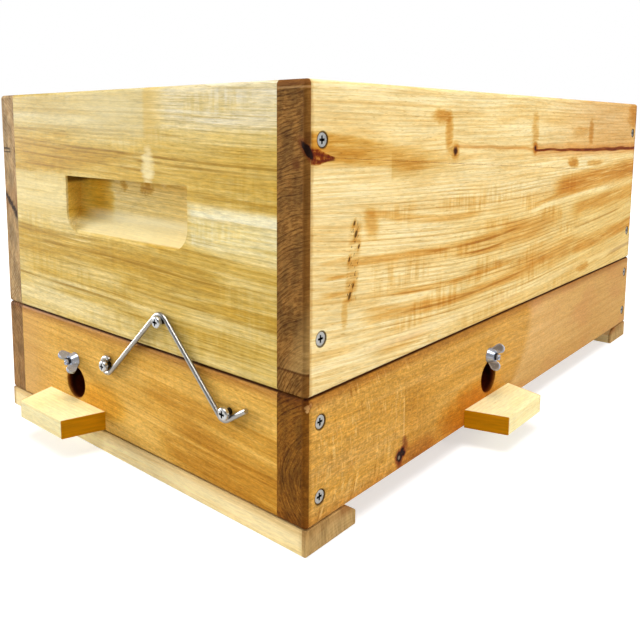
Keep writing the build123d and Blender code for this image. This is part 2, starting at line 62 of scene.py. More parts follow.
# Studio: a white floor that runs out into a white room, a softbox on the left that grazes the front wall,
# one on the right, a large one overhead and a weak one behind. The room is dim on the viewer's side.
class Field:
    """One output of a shader node. Arithmetic on it adds Math nodes to the same node tree."""

    def __init__(self, socket):
        self.socket = socket

    def node(self, kind, settings=None, inputs=None, output=0):
        """Adds a node: its settings first, then a value or another Field for each named input."""
        tree = self.socket.id_data
        made = tree.nodes.new(kind)
        for name, value in (settings or {}).items():
            setattr(made, name, value)
        for key, value in (inputs or {}).items():
            if isinstance(value, Field):
                tree.links.new(value.socket, made.inputs[key])
            else:
                made.inputs[key].default_value = value
        return Field(made.outputs[output])

    def math(self, operation, *values):
        return self.node("ShaderNodeMath", {"operation": operation}, dict(enumerate(values)))

    def vector(self, operation, *values, output=0):
        return self.node("ShaderNodeVectorMath", {"operation": operation}, dict(enumerate(values)), output)

    def __add__(self, other):
        return self.math("ADD", self, other)

    def __sub__(self, other):
        return self.math("SUBTRACT", self, other)

    def __rsub__(self, other):
        return self.math("SUBTRACT", other, self)

    def __mul__(self, other):
        return self.math("MULTIPLY", self, other)

    def __truediv__(self, other):
        return self.math("DIVIDE", self, other)

    def __rtruediv__(self, other):
        return self.math("DIVIDE", other, self)

    def __pow__(self, other):
        return self.math("POWER", self, other)

    def __abs__(self):
        return self.math("ABSOLUTE", self)

    __radd__ = __add__
    __rmul__ = __mul__

    def least(self, other):
        return self.math("MINIMUM", self, other)

    def most(self, other):
        return self.math("MAXIMUM", self, other)

    def floor(self):
        return self.math("FLOOR", self)

    def fract(self):
        return self.math("FRACT", self)

    def step(self, low, high):
        """Smooth rise from 0 at low to 1 at high; falls where low is the larger."""
        return self.node("ShaderNodeMapRange", {"interpolation_type": "SMOOTHSTEP"},
                         {"Value": self, "From Min": low, "From Max": high})

    def between(self, low, rise, fall, high):
        """Smooth rise from 0 at low to 1 at rise and fall from 1 at fall to 0 at high."""
        return self.step(low, rise) * self.step(high, fall)

    def blend(self, first, second):
        """Colour that goes from first to second as this value goes from 0 to 1."""
        return self.node("ShaderNodeMix", {"data_type": "RGBA"}, {0: self, 6: first, 7: second}, 2)

    def tint(self, colour):
        """The colour made this many times as bright."""
        shade = colour if isinstance(colour, Field) else colour[:3]
        return self.node("ShaderNodeVectorMath", {"operation": "SCALE"}, {0: shade, "Scale": self})

    def dye(self, colour, tone, ground):
        """The colour under this many coats of a dye that turns the ground colour into tone."""
        coat = self.vector("POWER", tuple(t / g for t, g in zip(tone[:3], ground[:3])), self)
        shade = colour if isinstance(colour, Field) else colour[:3]
        return self.vector("MULTIPLY", shade, coat)

    def speckle(self, sizes, seed=0.0, detail=2.0, rough=0.5):
        """Noise on this vector whose blotches measure sizes along its axes, centred on 0.5."""
        shift = (seed, seed * 0.7, seed * 1.3)
        scaled = self.vector("MULTIPLY_ADD", self, tuple(1 / size for size in sizes), shift)
        return self.node("ShaderNodeTexNoise", {}, {
            "Vector": scaled, "Scale": 1.0, "Detail": detail, "Roughness": rough})

    def parts(self):
        """The three values of this vector."""
        return [self.node("ShaderNodeSeparateXYZ", {}, {0: self}, axis) for axis in range(3)]

    def at(self, first, second, third):
        """Vector of three values."""
        return self.node("ShaderNodeCombineXYZ", {}, {0: first, 1: second, 2: third})


scene.view_settings.view_transform = "Standard"

FLOOR_HALF = 12.0
floor_corners = FLOOR_HALF * np.array([(-1, -1, 0), (1, -1, 0), (1, 1, 0), (-1, 1, 0)])
floor_mesh = bpy.data.meshes.new("studio_floor")
floor_mesh.from_pydata(floor_corners.tolist(), [], [(0, 1, 2, 3)])
studio_floor = bpy.data.objects.new("studio_floor", floor_mesh)
scene.collection.objects.link(studio_floor)
floor_paint = bpy.data.materials.new("floor_paint")
floor_paint.use_nodes = True
floor_shader = floor_paint.node_tree.nodes["Principled BSDF"]
floor_shader.inputs["Base Color"].default_value = (0.62, 0.62, 0.615, 1)
floor_shader.inputs["Roughness"].default_value = 0.9
floor_shader.inputs["Emission Strength"].default_value = 1.0
floor_spot = Field(floor_paint.node_tree.nodes.new("ShaderNodeTexCoord").outputs["Object"])
floor_x, floor_y = floor_spot.parts()[:2]
floor_seen = floor_spot.node("ShaderNodeLightPath")
floor_far = ((floor_x * floor_x + floor_y * floor_y) ** 0.5).step(0.35, 2.2)
floor_glow = (floor_seen * 0.8 + 0.2).tint(floor_far.blend((0.54, 0.54, 0.54, 1), (1, 1, 1, 1)))
floor_paint.node_tree.links.new(floor_glow.socket, floor_shader.inputs["Emission Color"])
floor_mesh.materials.append(floor_paint)

room = bpy.data.worlds.new("room")
scene.world = room
room.use_nodes = True
walls = room.node_tree.nodes["Background"]
toward = Field(room.node_tree.nodes.new("ShaderNodeTexCoord").outputs["Generated"])
facing = toward.vector("DOT_PRODUCT", toward, back, output=1)
seen = toward.node("ShaderNodeLightPath")
glow = facing.step(0.05, 0.85).blend((0.34, 0.34, 0.34, 1), (0.06, 0.06, 0.06, 1))
room.node_tree.links.new(seen.blend(glow, (1, 1, 1, 1)).socket, walls.inputs["Color"])


def softbox(name, place, aim, width, height, power):
    """Area light at place whose face looks at aim, in metres and watts."""
    lamp = bpy.data.lights.new(name, "AREA")
    lamp.shape, lamp.size, lamp.size_y, lamp.energy = "RECTANGLE", width, height, power
    holder = bpy.data.objects.new(name, lamp)
    away = np.subtract(place, aim)
    away = away / np.linalg.norm(away)
    side = np.cross((0, 0, 1), away)
    side = side / np.linalg.norm(side)
    holder.matrix_world = Matrix((*zip(side, np.cross(away, side), away, place), (0, 0, 0, 1)))
    scene.collection.objects.link(holder)


softbox("left_softbox", (-3.48, -1.23, 0.69), (0, -0.24, 0.12), width=0.82, height=1.2, power=150)
softbox("right_softbox", (1.95, 0.4, 0.75), (0.13, 0, 0.12), width=0.8, height=1.0, power=20)
softbox("top_softbox", (0.4, -0.62, 2.1), (0, 0, 0), width=1.2, height=1.2, power=40)
softbox("rear_softbox", (-0.9, 2.0, 0.9), (0, 0.26, 0.12), width=1.2, height=1.2, power=16)


# Base box: four honey-coloured 19 mm boards. The long side boards cover the ends of the short ones,
# so their dark end grain shows at the corners; all outer edges are eased and the faces oiled.
def rgb(red, green, blue):
    """Linear colour of a swatch named by its display values from 0 to 255."""
    swatch = np.array([red, green, blue]) / 255
    linear = np.where(swatch <= 0.04045, swatch / 12.92, ((swatch + 0.055) / 1.055) ** 2.4)
    return (*map(float, linear), 1.0)


def finish(name, place=(0, 0, 0), turn=(0, 0, 0)):
    """New material with its shader and its Object coordinates in millimetres, turned (degrees) and moved."""
    material = bpy.data.materials.new(name)
    material.use_nodes = True
    tree = material.node_tree
    object_place = Field(tree.nodes.new("ShaderNodeTexCoord").outputs["Object"])
    spot = object_place.node("ShaderNodeMapping", {}, {
        "Vector": object_place, "Location": place, "Rotation": tuple(map(math.radians, turn)),
        "Scale": (1000, 1000, 1000)})
    return material, tree.nodes["Principled BSDF"], spot


def feed(shader, colour, roughness, height, depth, strength, rounding=None):
    """Links colour, roughness and a bump of the given depth in metres to a shader, with edges that look
    rounded to a radius in metres if one is given."""
    links = shader.id_data.links
    links.new(colour.socket, shader.inputs["Base Color"])
    links.new(roughness.socket, shader.inputs["Roughness"])
    relief = {"Height": height, "Strength": strength, "Distance": depth}
    if rounding:
        relief["Normal"] = height.node("ShaderNodeBevel", {"samples": 6}, {"Radius": rounding})
    bump = height.node("ShaderNodeBump", {}, relief)
    links.new(bump.socket, shader.inputs["Normal"])


def dress(material, *nodes):
    """Puts a material on the named CAD nodes."""
    for node in nodes:
        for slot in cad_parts[node].material_slots:
            slot.material = material


def oval(u, v, middle_u, middle_v, half_u, half_v):
    """Square of the distance from an oval's middle, measured in its half sizes: 1 on the outline."""
    return ((u - middle_u) / half_u) ** 2 + ((v - middle_v) / half_v) ** 2


def painted(colour, *marks):
    """The colour under paints laid on in turn, each a mask and the three values of a swatch."""
    for mask, *swatch in marks:
        colour = mask.blend(colour, rgb(*swatch))
    return colour


def dyed(colour, ground, *marks):
    """The colour under dyes laid on in turn, each a mask and the swatch that it turns the ground into."""
    for mask, *swatch in marks:
        colour = mask.dye(colour, rgb(*swatch), ground)
    return colour


def strokes(u, v, drift, ragged, paths):
    """Soft streaks in a board's face: each follows the parabola through its three points (u, v), with
    a half width and a strength, and fades out over 30 mm at its ends. The strongest one counts."""
    total = u * 0
    for u0, v0, um, vm, u1, v1, half, strength in paths:
        bend, lean, base = map(float, np.polyfit((u0, um, u1), (v0, vm, v1), 2))
        line = (u * bend + lean) * u + drift + base
        body = abs(v - line).step(half * 1.35, half * 0.4)
        shown = u.between(u0 - 20, u0 + 10, u1 - 10, u1 + 20)
        total = total.most(body * shown * ragged * strength)
    return total


EASED_END, SCREW_RIM = (2.7, 2.1), 3.8
# Painted shade: a ring round each screw head, a shadow under each joint and a line in its groove.
SCREW_RIM_SHADE, SEAM_SHADE, SEAM_GAP_SHADE = rgb(48, 26, 10), rgb(110, 56, 16), rgb(62, 23, 6)
# Brown dye inside the entrance bores, and painted shade over it.
BORE_BROWN, BORE_SHADE = rgb(128, 54, 22), rgb(24, 6, 6)


def timber(name, place, turn, length, tones, seed, pith, ring, broad, rings=0.15, slope=(0, 0, 0), bow=None,
           fine=(2.4, 0.3), hair=0.2, figure=0.2, window=None, warm=(), dark=(), light=(), clouds=(),
           knots=(), extra=None, screws=(), bores=(), seams=(), flecks=0.75, heart=None, nap=0.6):
    """Solid wood sawn from a log, in the board's own millimetres: u along the grain, w in from the
    outer face, v across. Growth rings are circles about the pith in w and v, carried along u with a
    drift, a slope and a bow; on the ends they lie about the heart, if one is given. Broad and fine
    streaks, hairlines and the nap are noise drawn out along the grain; the figure is noise across it, in
    a window of u and v if given, where the rings show more. Warm, dark and light are single streaks,
    clouds are stains (u, v, half sizes, depth, pale if negative), knots have (u, v, half sizes). The
    ends, at u = 0 and length, show end grain with flecks as far as the eased edge, and oil has soaked in
    past it. Screws (u, v) get a ring of painted shade round the head; bores (u, v, radius) are dyed
    brown inside under painted shade that gives way to painted light deep on their lower side; seam
    shades (level, depth) paint a shade line in a joint's groove and a shadow below it; extra adds marks."""
    material, shader, spot = finish(name, place, turn)
    u, w, v = spot.parts()
    drift = (spot.speckle((190, 70, 60), seed, 1) - 0.5) * 7
    lean, fan, foot = slope
    grain = v + u * (lean + (v - foot) * fan) - drift
    if bow:
        middle, left_reach, right_reach, rise, none, full = bow
        away = (u - middle).least(0) / left_reach + (u - middle).most(0) / right_reach
        grain = grain - away * away * rise * v.step(none, full)
    for ku, kv, kru, krv in knots:
        near = oval(u, v, ku, kv, kru * 2.6, krv * 2.6)
        spread = 1 + near * near
        grain = grain + (v - kv).step(krv * 2, -krv * 2) * krv * 1.6 / spread - krv * 0.8 / spread
    across, deep = grain - pith[1], w - pith[0]
    wander = (spot.speckle((320, 26, 26), seed + 3, 1) - 0.5) * 5
    radius = (across * across + deep * deep) ** 0.5 + wander

    def growth(reach, spacing, share_seed):
        """Dark late wood of each ring, rising slowly and ending sharply, stronger in some years."""
        turns = reach / spacing
        number = turns.floor()
        fate = number.node("ShaderNodeTexWhiteNoise", {"noise_dimensions": "1D"}, {"W": number + share_seed})
        return turns.fract().between(0.45, 0.9, 0.94, 1.0) * (0.2 + 0.8 * fate)

    late = growth(radius, ring, seed)
    along = u.at(u, w, grain)
    ragged = along.speckle((46, 30, 2.4), seed + 11, 3, 0.6).step(0.2, 0.56)
    wide = along.speckle((150, 70, broad[0]), seed + 7, 3, 0.55).step(0.36, 0.68) * broad[1]
    thin = along.speckle((64, 30, fine[0]), seed + 13, 3, 0.6).step(0.4, 0.68) * fine[1]
    curl = spot.speckle((4.5, 50, 26), seed + 17, 2, 0.6).step(0.36, 0.66)
    patch = spot.speckle((70, 60, 20), seed + 23, 1).step(0.45, 0.62)
    if window:
        u0, u1, v0, v1 = window
        shown = u.between(u0 - 20, u0 + 20, u1 - 20, u1 + 20) * v.between(v0 - 8, v0 + 8, v1 - 8, v1 + 8)
        patch = patch * shown
        rings = rings + shown * 0.24
    honey = wide + thin + curl * patch * figure + strokes(u, v, drift, ragged, warm)
    hairline = along.speckle((60, 12, 0.8), seed + 19, 2, 0.6).step(0.52, 0.7)
    fibre = along.speckle((7, 1.2, 1.0), seed + 29, 3, 0.7)
    pore = along.speckle((6, 0.8, 0.6), seed + 31, 1).step(0.65, 0.74)
    mottle = spot.speckle((45, 45, 16), seed + 53, 3, 0.55)

    pale = tones["pale"]
    colour = honey.dye(pale, tones["warm"], pale)
    lines = late * rings + hairline * hair + pore * 0.2 + strokes(u, v, drift, ragged, dark)
    colour = lines.dye(colour, tones["late"], pale)
    colour = strokes(u, v, drift, ragged, light).blend(colour, tones["light"])
    colour = (0.84 + mottle * 0.32 + (fibre - 0.5) * nap).tint(colour)
    for cu, cv, cru, crv, depth in clouds:
        torn = along.speckle((12, 30, 3.0), seed + 37 + cu, 3, 0.65) - 0.5
        body = (oval(u, v, cu, cv, cru, crv) + torn * 3.2).step(1.7, -0.2) * abs(depth)
        if depth > 0:
            colour = body.dye(colour, tones["stain"], pale)
        else:
            colour = body.blend(colour, tones["light"])

    end = u.least(length - u)
    soaked = (end + (spot.speckle((4, 6, 5), seed + 59, 3) - 0.5) * 4).step(5.0, 2.6)
    colour = (soaked * 0.2).dye(colour, tones["end"], pale)
    cut = end.step(*EASED_END)
    reach = radius
    if heart:
        reach = ((v - heart[1]) ** 2 + (w - heart[0]) ** 2) ** 0.5 + wander * 1.6
    open_grain = u.at(w, v, reach).speckle((4.0, 4.0, 0.8), seed + 43, 3, 0.7).step(0.36, 0.62)
    blotch = spot.speckle((9, 7, 16), seed + 47, 2).step(0.3, 0.7)
    arcs = growth(reach, ring * 0.75, seed + 2)
    cut_colour = (arcs * 0.95).blend(tones["end"], tones["end_late"])
    cut_colour = (open_grain * flecks * (1 - arcs * 0.7)).blend(cut_colour, tones["fleck"])
    cut_colour = (0.62 + blotch * 0.5).tint(cut_colour)
    rub = spot.speckle((5, 5, 11), seed + 61, 2).step(0.3, 0.7)
    rubbed = (0.8 + rub * 0.4 + open_grain * 0.15).tint(tones["end"])
    cut_colour = (w.step(3.3, 2.5) * 0.7).blend(cut_colour, rubbed)
    colour = cut.blend(colour, cut_colour)
    if extra:
        colour = extra(colour, u, v, w, spot)
    for ku, kv, kru, krv in knots:
        ripple = spot.speckle((3, 7, 3), seed + 41 + ku, 3, 0.65) - 0.5
        near = (oval(u, v, ku, kv, kru, krv) + (w / (krv * 2)) ** 2) ** 0.5 + ripple * 1.2
        colour = (near.step(2.8, 1.0) * 0.8).dye(colour, tones["stain"], pale)
        colour = (near.step(1.35, 0.9) * 0.9).blend(colour, tones["heart"])
        colour = (near.step(0.85, 0.5) * 0.95).blend(colour, tones["knot"])
    # A ring of painted shade round each screw head, where it meets the countersink.
    for su, sv in screws:
        rim = abs(((u - su) ** 2 + (v - sv) ** 2) ** 0.5 - SCREW_RIM).step(0.8, 0.2)
        colour = (rim * 0.8).blend(colour, SCREW_RIM_SHADE)
    # Inside each bore: brown dye, then painted shade that gives way to painted light deep on its lower side.
    for bu, bv, br in bores:
        inside = ((u - bu) ** 2 + (v - bv) ** 2).step((br + 0.8) ** 2, (br + 0.1) ** 2)
        colour = (inside * w.step(-1.0, 4.0)).dye(colour, BORE_BROWN, pale)
        lit = (bv - v + w * 0.6).step(3.0, 13.0) * w.between(2.0, 7.0, 13.0, 18.0)
        colour = (inside * w.step(0.0, 5.0) * (0.97 - lit * 0.8)).blend(colour, BORE_SHADE)
    # Painted shade at each seam: a soft shadow below the joint and a dark line in the groove of its eased
    # edges.
    for level, depth in seams:
        under = (level - v).between(-0.5, 0.5, 0.0, 8.0)
        colour = (under * depth * 0.35).dye(colour, SEAM_SHADE, pale)
        colour = (abs(v - level).step(1.2, 0.4) * w.step(3.4, 1.4) * depth).blend(colour, SEAM_GAP_SHADE)
    relief = fibre * 0.5 - pore * 0.8 + late * 0.35 + cut * open_grain * 0.6
    roughness = 0.46 + fibre * 0.16 + cut * 0.18 - late * 0.05
    feed(shader, colour, roughness, relief, depth=0.00025, strength=0.5)
    shader.inputs["Specular IOR Level"].default_value = 0.05
    return material


def board(name, face, tones, seed, **look):
    """Puts new timber on a board that spans a face of the box."""
    dress(timber(f"{name}_wood", *face, tones, seed, **look), name)


BOX_LENGTH, BOX_WIDTH, BASE_FOOT, JOINT = 505.0, 292.0, 14.0, 81.0
FRONT_FACE, BACK_FACE, LEFT_FACE, RIGHT_FACE = -242.0, 263.0, -159.5, 132.5
ON_FRONT = (-LEFT_FACE, -FRONT_FACE, 0), (0, 0, 0), BOX_WIDTH
ON_RIGHT = (-FRONT_FACE, RIGHT_FACE, 0), (0, 0, -90), BOX_LENGTH
ON_BACK = (RIGHT_FACE, BACK_FACE, 0), (0, 0, 180), BOX_WIDTH
ON_LEFT = (BACK_FACE, -LEFT_FACE, 0), (0, 0, 90), BOX_LENGTH
HONEY = dict(
    pale=rgb(222, 172, 88), warm=rgb(196, 138, 44), late=rgb(146, 90, 26), light=rgb(236, 194, 116),
    stain=rgb(168, 96, 34), heart=rgb(104, 48, 18), knot=rgb(26, 12, 8), end=rgb(118, 70, 16),
    end_late=rgb(72, 38, 6), fleck=rgb(162, 108, 36))
SCREW_INSET = 11.0
CORNER_SCREWS = SCREW_INSET, BOX_LENGTH - SCREW_INSET
BASE_SCREWS = [(u, v) for u in CORNER_SCREWS for v in (28, 67)]
# Levels and depths of painted shade at the foot seam and at the joint of the two boxes.
FOOT_SEAM_SHADE, JOINT_SEAM_SHADE = (BASE_FOOT, 0.55), (JOINT, 0.93)
FRONT_ENTRANCE, SIDE_ENTRANCE = (89, 39.5, 11), (195.5, 39.5, 11)


def spots(u, v, marks):
    """Distance from the nearest of some round marks (u, v, radius): 0 in its middle, 1 on its rim."""
    place, nearest = u.at(u, v, 0.0), u * 0 + 9
    for mu, mv, radius in marks:
        nearest = nearest.least(place.vector("DISTANCE", place, (mu, mv, 0), output=1) / radius)
    return nearest


def sawn_and_faded(colour, u, v, w, spot):
    """Faint arcs of a circular saw over the near third, an encased knot with a painted shadow in its lee, an
    orange patch under the entrance, a chip in the near upper corner, and a paler far part with its own
    streaks that starts at a curved edge."""
    ground = HONEY["pale"]
    curved = u + (v - 70) * (v - 70) * 0.014 + (spot.speckle((9, 9, 9), 2.0, 2) - 0.5) * 6
    streak = spot.speckle((110, 40, 3), 3.0, 3, 0.6).step(0.35, 0.68)
    blush = spot.speckle((50, 40, 24), 6.0, 2).step(0.4, 0.7)
    faded = painted(rgb(224, 182, 118), (streak * 0.5, 202, 150, 78), (blush * 0.45, 212, 150, 96))
    faded = (0.76 + spot.speckle((9, 9, 0.8), 4.0, 2) * 0.48).tint(faded)
    colour = (curved.step(256, 272) * 0.85 * u.step(503, 502)).blend(colour, faded)
    mellow = (u.step(240, 420) * 0.7).most(u.step(200, 280) * v.step(48, 20) * 0.8)
    edge = (spot.speckle((14, 14, 10), 8.0, 3, 0.6) - 0.5) * 0.9
    glow = (oval(u, v, 172, 24, 52, 18) ** 0.5 + edge).step(1.15, 0.3)
    # Painted shadow in the lee of the knot.
    lee = (oval(u, v, 106, 20, 22, 8) ** 0.5 + edge).step(1.15, 0.4)
    shade = u.between(88.0, 88.6, 96, 132) * v.between(24, 32, 50, 70)
    colour = dyed(colour, ground, (mellow, 200, 148, 65), (glow * 0.95, 200, 122, 30),
                  (lee * 0.6, 176, 108, 36), (shade * 0.45, 200, 142, 56))
    nick = abs(u - 87.9 + (v - 44) * 0.01).step(0.9, 0.3) * v.between(28, 33, 54, 60)
    colour = painted(colour, (nick * 0.4, 238, 200, 126))
    hem = v.step(24, 14) * u.step(300, 200)
    colour = dyed(colour, ground, (hem * 0.4, 192, 122, 44))

    swept = u + (v - 30) * (v - 30) * 0.006 - v * 0.2
    scratch = u.at(swept, v * 0.07, w * 0.1)
    patchy = spot.speckle((14, 30, 12), 9.0, 3, 0.6).step(0.34, 0.66) * u.between(4, 8, 40, 130)
    bright = scratch.speckle((1.7, 1, 1), 5.0, 3, 0.75).step(0.52, 0.66) * patchy
    dull = scratch.speckle((2.1, 1, 1), 18.0, 3, 0.75).step(0.54, 0.66) * patchy
    colour = painted(colour, (bright * 0.65, 240, 200, 122))
    colour = dyed(colour, ground, (dull * 0.6, 164, 108, 40))
    dust = spot.speckle((1.6, 1.6, 1.3), 12.0, 2, 0.7).step(0.4, 0.62) - 0.65
    grit = spot.speckle((4.0, 3.0, 0.9), 16.0, 3, 0.75).step(0.34, 0.66) - 0.5
    colour = (1 + (dust * 0.24 + grit * 0.24) * (0.4 + u.step(220, 90) * 0.6)).tint(colour)

    ripple = (spot.speckle((2.2, 2.2, 2.2), 10.0, 3, 0.6) - 0.5) * 0.9
    chip = spots(u, v, ((1.6, 77.0, 1.7), (3.4, 77.9, 1.2), (1.4, 75.4, 1.0))) + ripple
    chip = chip / w.step(3.0, 1.4).most(0.1)
    pit = spots(u, v, ((3.0, 77.4, 0.7),)).step(1.3, 0.6) * w.step(1.0, 0.4)
    colour = painted(colour, (chip.step(1.6, 1.0) * 0.45, 110, 62, 22),
                     (chip.step(1.05, 0.6) * 0.65, 228, 180, 112), (pit * 0.6, 150, 88, 36))
    tail = spots(u, v, ((89.4, 27.2, 3.6), (88.6, 31.0, 2.6), (84.0, 17.0, 3.0))) + ripple
    lobes = spots(u, v, ((83.6, 22.4, 3.3), (86.4, 25.2, 2.0), (88.0, 23.0, 1.7))) + ripple
    colour = dyed(colour, ground, (tail.step(1.3, 0.3) * 0.55, 126, 64, 28),
                  (lobes.step(1.7, 1.0) * 0.6, 120, 52, 26))
    # A painted glint of light in the knot's middle.
    glint = spots(u, v, ((83.2, 22.0, 1.3),)).step(1.2, 0.5)
    return painted(colour, (lobes.step(1.1, 0.75) * 0.95, 22, 10, 8), (glint * 0.7, 150, 132, 112))


def pink_and_orange(colour, u, v, w, spot):
    """A pinkish left part, an orange patch between the entrance and the landing board, a fine mottle."""
    dust = spot.speckle((3.0, 1.6, 1.2), 13.0, 2, 0.7).step(0.4, 0.62) - 0.6
    colour = painted((1 + dust * 0.16).tint(colour), (u.between(18, 20, 20, 70) * 0.4, 206, 156, 100))
    glow = oval(u, v, 120, 34, 26, 12).step(1.4, 0.1)
    return dyed(colour, HONEY["pale"], (glow * 0.5, 206, 130, 24))


board(
    "base_front", ON_FRONT, dict(HONEY, pale=rgb(236, 190, 98)), 11.0, pith=(70, -40),
    ring=3.4, slope=(0.05, 0, 0), broad=(9, 0.28), fine=(1.7, 0.24), hair=0.12, figure=0.1, nap=0.8,
    bores=(FRONT_ENTRANCE,), seams=(FOOT_SEAM_SHADE, JOINT_SEAM_SHADE), extra=pink_and_orange,
    warm=((200, 34, 240, 30, 290, 26, 13, 0.8), (170, 56, 220, 53, 290, 50, 7, 0.6),
          (190, 24, 240, 20, 290, 18, 9, 0.9)),
    clouds=((26, 30, 14, 22, -0.35),))
board(
    "base_right", ON_RIGHT, dict(HONEY, pale=rgb(214, 164, 84)), 23.0, pith=(-14, 40),
    ring=3.0, slope=(0.04, 0, 0), broad=(9, 0.35), fine=(2.0, 0.2), hair=0.08, figure=0.1, nap=1.0,
    bores=(SIDE_ENTRANCE,), seams=(JOINT_SEAM_SHADE,), screws=BASE_SCREWS, extra=sawn_and_faded)
board(
    "base_back", ON_BACK, HONEY, 37.0, pith=(60, 120), ring=3.2, slope=(-0.02, 0, 0),
    broad=(9, 0.4), fine=(2.2, 0.4), hair=0.25, figure=0.1, seams=(FOOT_SEAM_SHADE, JOINT_SEAM_SHADE),
    warm=((20, 60, 120, 54, 280, 58, 6, 0.6), (0, 34, 140, 30, 290, 22, 8, 0.5)))
TAWNY = dict(HONEY, pale=rgb(200, 150, 78), warm=rgb(174, 116, 42), late=rgb(130, 78, 24),
             light=rgb(212, 168, 98), end=rgb(148, 104, 56), end_late=rgb(100, 64, 28),
             fleck=rgb(184, 144, 92))
board(
    "base_left", ON_LEFT, TAWNY, 41.0, pith=(-34, 20), ring=3.0, broad=(10, 0.4),
    fine=(2.4, 0.4), hair=0.25, figure=0.15, knots=((330, 58, 4.5, 3.6),), screws=BASE_SCREWS,
    seams=(JOINT_SEAM_SHADE,),
    warm=((40, 62, 200, 58, 420, 64, 7, 0.6), (120, 30, 300, 26, 500, 34, 6, 0.5)))


# Floor and dividers: sanded birch plywood. The floor lies in a rebate of the base, the strip stands on it
# and the lift-out board slides in grooves of the upper box, so plies show along its top edge.
def plywood(name, place, turn, ply, seed):
    """Glued veneers ply millimetres thick, stacked along w, the outer two sanded thinner. Their grain runs
    along u and v by turns: long fibres one way, short speckle the other, with wavy bands of the peeled
    log on the long ones."""
    material, shader, spot = finish(name, place, turn)
    _, w, v = spot.parts()
    layer = w * 0.96 / ply + 0.1
    odd = layer.math("MODULO", abs(layer.floor()), 2.0)
    share = layer.fract()
    long_grain = spot.speckle((60, 3, 1.1), seed, 3, 0.6)
    cross_grain = spot.speckle((1.1, 3, 60), seed + 5, 3, 0.6)
    peel = v + (spot.speckle((160, 60, 30), seed + 9, 2) - 0.5) * 40
    band = (peel / 9).fract().between(0.15, 0.5, 0.7, 1.0)
    face = (band * 0.45).blend(rgb(228, 196, 146), rgb(206, 164, 106))
    face = (0.82 + long_grain * 0.36).tint(face)
    core = (0.70 + cross_grain * 0.5).tint(rgb(196, 152, 98))
    glue = share.step(0.10, 0.02).most(share.step(0.90, 0.98))
    colour = (glue * 0.6).blend(odd.blend(face, core), rgb(104, 66, 36))
    feed(shader, colour, 0.5 + long_grain * 0.2, long_grain + band * 0.4, depth=0.00015, strength=0.4)
    return material


DIVIDER_THICK, DIVIDER_PLIES, FLOOR_THICK, FLOOR_PLIES = 6.4, 5, 9.5, 7
MIDDLE_X = (LEFT_FACE + RIGHT_FACE) / 2
divider_ply = plywood("divider_ply", (BACK_FACE, DIVIDER_THICK / 2 - MIDDLE_X, 0), (0, 0, 90),
                      DIVIDER_THICK / DIVIDER_PLIES, 2.0)
floor_ply = plywood("floor_ply", (0, -BASE_FOOT, 0), (90, 0, 0), FLOOR_THICK / FLOOR_PLIES, 4.0)
dress(divider_ply, "divider_board", "base_divider")
dress(floor_ply, "floor_panel")


# Runners and landing boards: offcuts of pale, straight-grained softwood. Runners are screwed up into
# the end walls, landing boards from behind through the front and right walls.
PALE = dict(
    pale=rgb(255, 232, 168), warm=rgb(236, 198, 122), late=rgb(200, 156, 86), light=rgb(254, 244, 206),
    end=rgb(188, 154, 100), end_late=rgb(152, 114, 62), fleck=rgb(214, 186, 138))


def saw_lines(colour, u, v, w, spot):
    """Upright scratches of a saw on the two ends, and a reddish inner upper corner."""
    end = u.least(BOX_WIDTH - u).step(*EASED_END)
    scratch = u.at(w + v * 0.15, v * 0.1, u * 0.02).speckle((1.1, 1, 1), 15.0, 3, 0.7).step(0.35, 0.65)
    sawn = scratch.blend(rgb(158, 122, 66), rgb(202, 166, 106))
    colour = (end * (0.4 + scratch * 0.25)).blend(colour, sawn)
    return painted(colour, (end * w.step(24, 32) * v.step(7, 13) * 0.5, 150, 84, 34))


for name, face, seed in (("front_runner", ON_FRONT, 63.0), ("rear_runner", ON_BACK, 62.0)):
    board(name, face, PALE, seed, pith=(30, -60), ring=2.8, broad=(8, 0.15), fine=(2.0, 0.2), hair=0.1,
          figure=0.1, flecks=0.3, extra=saw_lines, seams=((BASE_FOOT, 0.3),),
          light=((0, 7, 146, 7, 292, 7, 7, 0.35),))
BRIGHT = dict(PALE, pale=rgb(250, 238, 192), warm=rgb(244, 222, 152), late=rgb(226, 192, 116))
FRONT_LANDING_LEFT, SIDE_LANDING_NEAR = 55.5, 162.0
LANDING_BACK, LANDING_FRONT, LANDING_DEPTH = 67.0, 51.0, 27.0
BEYOND = 2000.0  # keeps square ends off a board


def slanted_ends(start):
    """End grain on a landing board whose ends slant inwards from the wall to its outer edge."""
    def colour_ends(colour, u, v, w, spot):
        inset = w * (-(LANDING_BACK - LANDING_FRONT) / 2 / LANDING_DEPTH)
        end = (u - start - inset).least(start + LANDING_BACK - inset - u)
        lines = spot.speckle((30, 18, 1.2), start, 3, 0.6)
        return end.step(0.9, 0.1).blend(colour, (0.5 + lines * 0.8).tint(rgb(202, 134, 0)))
    return colour_ends


for name, face, seed, start, pith, ring in (
        ("front_landing", ON_FRONT, 57.0, FRONT_LANDING_LEFT, (-60, 40), 2.6),
        ("side_landing", ON_RIGHT, 63.0, SIDE_LANDING_NEAR, (-70, 30), 2.8)):
    dress(timber(
        f"{name}_wood", *face[:2], BEYOND, BRIGHT, seed, pith=pith, ring=ring, broad=(7, 0.3),
        fine=(1.8, 0.3), hair=0.1, figure=0.1, extra=slanted_ends(start)), f"{name}_board")


